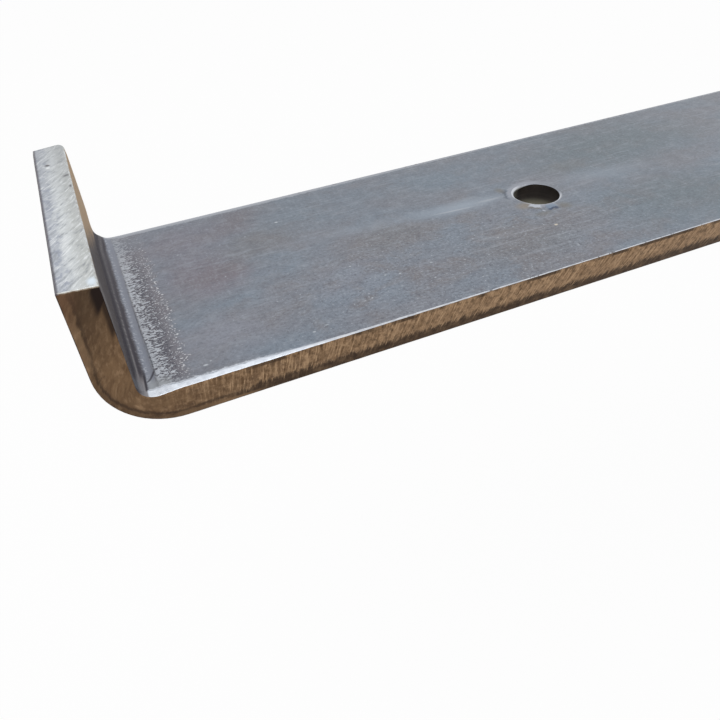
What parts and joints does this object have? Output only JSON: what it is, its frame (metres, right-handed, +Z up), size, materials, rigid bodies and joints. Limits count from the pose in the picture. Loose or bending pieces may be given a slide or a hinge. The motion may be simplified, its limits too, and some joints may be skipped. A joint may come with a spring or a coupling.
{
  "type": "lipped shelf bracket",
  "caption": "Shelf bracket bent from flat steel bar, with an arm under the board, a raised front lip and a leg screwed to the wall.",
  "frame": {"origin": "centre of the upper wall screw hole, on the face that lies against the wall", "axes": "+Z up, -Y out from the wall along the arm, X along the wall across the bar's width"},
  "size_m": [0.04, 0.204, 0.1452],
  "materials": {
    "raw_steel": "bare mill-finish steel, with ground and browned edges"
  },
  "bodies": {
    "root": {"bracket": "raw_steel"}
  },
  "joints": []
}
